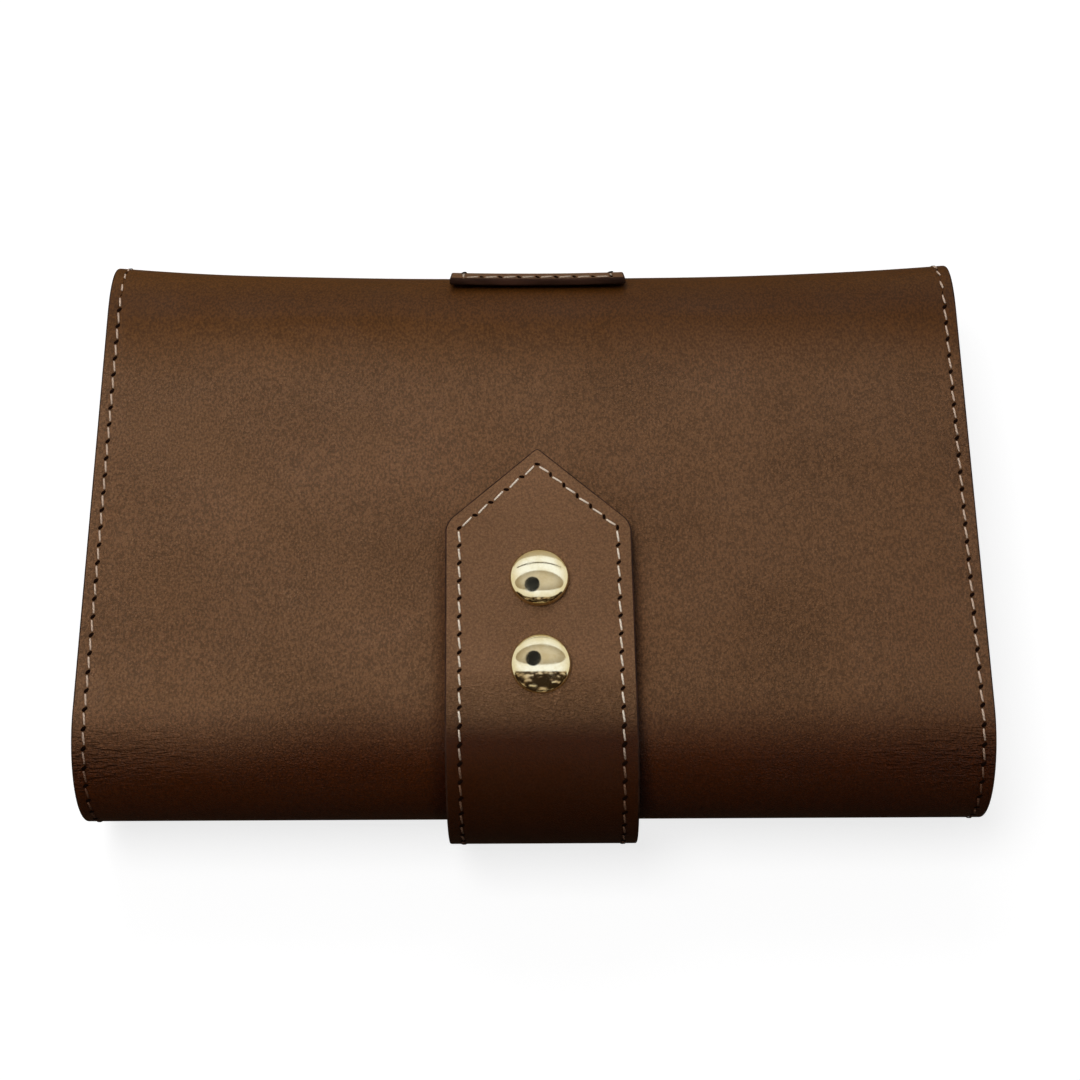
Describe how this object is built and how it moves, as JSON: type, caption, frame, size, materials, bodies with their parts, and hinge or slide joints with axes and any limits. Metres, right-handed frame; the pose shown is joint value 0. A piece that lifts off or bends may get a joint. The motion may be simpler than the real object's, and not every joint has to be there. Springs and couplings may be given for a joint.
{
  "type": "long wallet",
  "caption": "Long leather wallet with a front cover that folds round the mouth, note, coin and card pockets, and a pointed strap on two snaps.",
  "frame": {"origin": "middle of the underside of the closed wallet lying on its back", "axes": "+X along the spine, +Y towards the mouth, +Z out of the front cover"},
  "size_m": [0.19, 0.135, 0.045],
  "materials": {
    "outer_leather": "smooth brown calf with a fine pebble grain",
    "lining_leather": "lighter brown lining leather",
    "board": "pressed fibre board",
    "thread": "waxed beige polyester thread",
    "snap_metal": "polished pale gold plating",
    "zip_tape": "woven brown zip tape"
  },
  "bodies": {
    "back_cover": {"back_cover_leather": "outer_leather", "back_cover_board": "board", "back_cover_lining": "lining_leather", "back_cover_thread": "thread", "back_band_leather": "outer_leather", "back_band_thread": "thread", "rear_note_gussets": "outer_leather", "coin_wall_rear": "outer_leather", "coin_wall_front": "outer_leather", "coin_pocket_gussets": "outer_leather", "front_note_gussets": "outer_leather", "card_divider": "outer_leather", "divider_slot_row_1": "lining_leather", "divider_slot_row_2": "lining_leather", "zip_tape_rear": "zip_tape", "zip_tape_front": "zip_tape", "zip_coil_rear": "snap_metal", "zip_coil_front": "snap_metal", "zip_end_stops": "snap_metal"},
    "spine": {"spine_leather": "outer_leather", "spine_board": "board", "spine_lining": "lining_leather", "spine_thread": "thread", "strap_bridge_leather": "outer_leather", "strap_bridge_thread": "thread"},
    "front_cover": {"front_cover_leather": "outer_leather", "front_cover_board": "board", "front_cover_lining": "lining_leather", "front_cover_thread": "thread", "front_slip_pocket": "outer_leather", "front_slot_row_1": "lining_leather", "front_slot_row_2": "lining_leather", "front_slot_row_3": "lining_leather", "front_slot_row_4": "lining_leather", "lip_tab_leather": "outer_leather", "lip_tab_thread": "thread", "snap_studs": "snap_metal", "snap_posts": "snap_metal"},
    "strap": {"strap_leather": "outer_leather", "strap_lining": "lining_leather", "strap_thread": "thread", "snap_caps": "snap_metal", "snap_sockets": "snap_metal"},
    "zip_slider": {"zip_slider": "snap_metal"},
    "zip_puller": {"zip_puller": "snap_metal"}
  },
  "joints": [
    {"name": "spine_fold", "type": "hinge", "parent": "back_cover", "child": "spine", "pos_m": [0, -0.05799, 0.00606], "axis": [1, 0, 0], "range_deg": [0, 80], "deforming": ["spine_leather", "spine_lining", "spine_thread", "strap_bridge_leather", "strap_bridge_thread"]},
    {"name": "cover_fold", "type": "hinge", "parent": "spine", "child": "front_cover", "pos_m": [0, -0.05799, 0.03434], "axis": [1, 0, 0], "range_deg": [0, 80], "deforming": ["spine_leather", "spine_lining", "spine_thread", "strap_bridge_leather", "strap_bridge_thread"]},
    {"name": "strap_bend", "type": "hinge", "parent": "front_cover", "child": "strap", "pos_m": [0.0012, -0.04625, 0.0409], "axis": [1, 0, 0], "range_deg": [0, 150]},
    {"name": "zip_run", "type": "slide", "parent": "back_cover", "child": "zip_slider", "axis": [-1, 0, 0], "range_m": [0, 0.152]},
    {"name": "puller_swing", "type": "hinge", "parent": "zip_slider", "child": "zip_puller", "pos_m": [0.076, 0.04685, 0.0156], "axis": [0, 0, -1], "range_deg": [0, 180]}
  ],
  "couplings": [
    {"joint": "cover_fold", "follows": "spine_fold", "ratio": 1}
  ]
}
